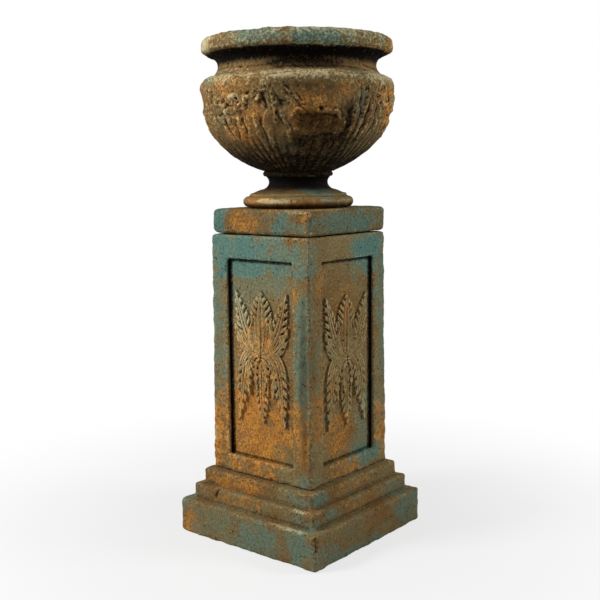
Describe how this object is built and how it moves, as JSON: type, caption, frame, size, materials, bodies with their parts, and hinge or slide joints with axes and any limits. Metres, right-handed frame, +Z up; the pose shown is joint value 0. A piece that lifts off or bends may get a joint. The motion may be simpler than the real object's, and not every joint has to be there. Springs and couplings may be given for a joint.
{
  "type": "garden urn on pedestal",
  "caption": "Footed garden urn with swags, neck and rolled lip, standing loose on a square panelled pedestal with leaf sprays and a stepped base.",
  "frame": {"origin": "middle of the underside, on the ground", "axes": "+Z up; -Y and +X are the two panelled faces that the picture shows"},
  "size_m": [0.464, 0.4638, 1.203],
  "materials": {
    "base_stone": "rough cast, rust and verdigris wash",
    "die_stone": "rough cast, rust and verdigris wash",
    "leaf_stone": "rough cast, rust wash with dark hollows",
    "slab_stone": "rough cast, verdigris wash",
    "foot_stone": "rough cast, rust wash",
    "bowl_stone": "rough cast, rust and verdigris wash",
    "mortar": "struck mortar",
    "dowel_steel": "satin",
    "pad_rubber": "matt",
    "drain_plastic": "matt"
  },
  "bodies": {
    "pedestal": {"pedestal_base": "base_stone", "base_dowels": "dowel_steel", "die_mortar_bed": "mortar", "pedestal_die": "die_stone", "leaf_spray_front": "leaf_stone", "leaf_spray_right": "leaf_stone", "leaf_spray_back": "leaf_stone", "leaf_spray_left": "leaf_stone", "locating_dowels": "dowel_steel", "setting_pads": "pad_rubber"},
    "urn": {"urn_slab": "slab_stone", "foot_mortar_bed": "mortar", "urn_foot": "foot_stone", "bowl_mortar_collar": "mortar", "urn_bowl": "bowl_stone", "drain_sleeve": "drain_plastic"}
  },
  "joints": [
    {"name": "urn_lift", "type": "slide", "parent": "pedestal", "child": "urn", "axis": [0, 0, 1], "range_m": [0, 0.25]}
  ]
}
